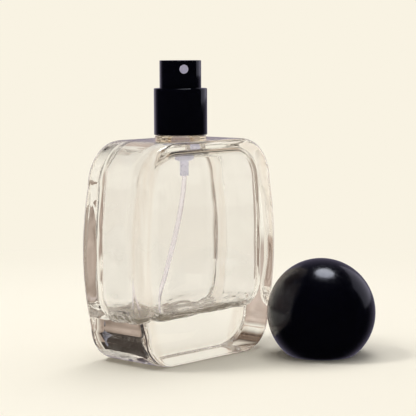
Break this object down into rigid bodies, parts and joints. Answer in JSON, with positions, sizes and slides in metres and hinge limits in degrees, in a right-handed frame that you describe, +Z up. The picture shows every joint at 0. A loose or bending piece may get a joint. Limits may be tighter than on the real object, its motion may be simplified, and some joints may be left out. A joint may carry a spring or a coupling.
{
  "type": "aftershave bottle",
  "caption": "Thick clear glass spray flask with a crimped fine-mist pump, black collar and push button, and a black ball cap standing beside it.",
  "frame": {"origin": "centre of the flask's flat base, on the surface that it stands on", "axes": "+Z up along the pump axis, -Y out of the flask's front face, +X to the right of that face"},
  "size_m": [0.0858, 0.0706, 0.1029],
  "materials": {
    "clear_glass": "clear polished",
    "white_seal": "matte",
    "black_seal": "matte",
    "ferrule_aluminium": "satin",
    "pump_plastic": "natural, slightly translucent",
    "valve_steel": "drawn wire",
    "tube_plastic": "translucent",
    "black_gloss": "high gloss",
    "cap_gloss": "high gloss",
    "liner_plastic": "satin moulded",
    "nozzle_plastic": "satin moulded"
  },
  "bodies": {
    "bottle": {"glass_bottle": "clear_glass", "neck_gasket": "white_seal", "crimp_ferrule": "ferrule_aluminium", "pump_housing": "pump_plastic", "turret": "pump_plastic", "stem_gasket": "black_seal", "return_spring": "valve_steel", "dip_tube": "tube_plastic", "collar_cover": "black_gloss"},
    "plunger": {"poppet": "pump_plastic", "piston": "pump_plastic", "stem": "pump_plastic"},
    "actuator": {"actuator_core": "pump_plastic", "actuator_shell": "black_gloss", "nozzle_insert": "nozzle_plastic"},
    "inlet_valve": {"inlet_ball": "valve_steel"},
    "cap": {"cap_shell": "cap_gloss", "cap_liner": "liner_plastic"}
  },
  "joints": [
    {"name": "actuator_press", "type": "slide", "parent": "bottle", "child": "plunger", "axis": [0, 0, -1], "range_m": [0, 0.004], "stiffness_N_per_m": 900, "springref_m": -0.006, "deforming": ["return_spring"]},
    {"name": "actuator_turn", "type": "hinge", "parent": "plunger", "child": "actuator", "pos_m": [0, 0, 0.09], "axis": [0, 0, 1], "continuous": true},
    {"name": "inlet_ball_lift", "type": "slide", "parent": "bottle", "child": "inlet_valve", "axis": [0, 0, 1], "range_m": [0, 0.0008]},
    {"name": "cap_lift", "type": "slide", "parent": "bottle", "child": "cap", "axis": [0, 0, 1], "range_m": [0, 0.11]}
  ]
}
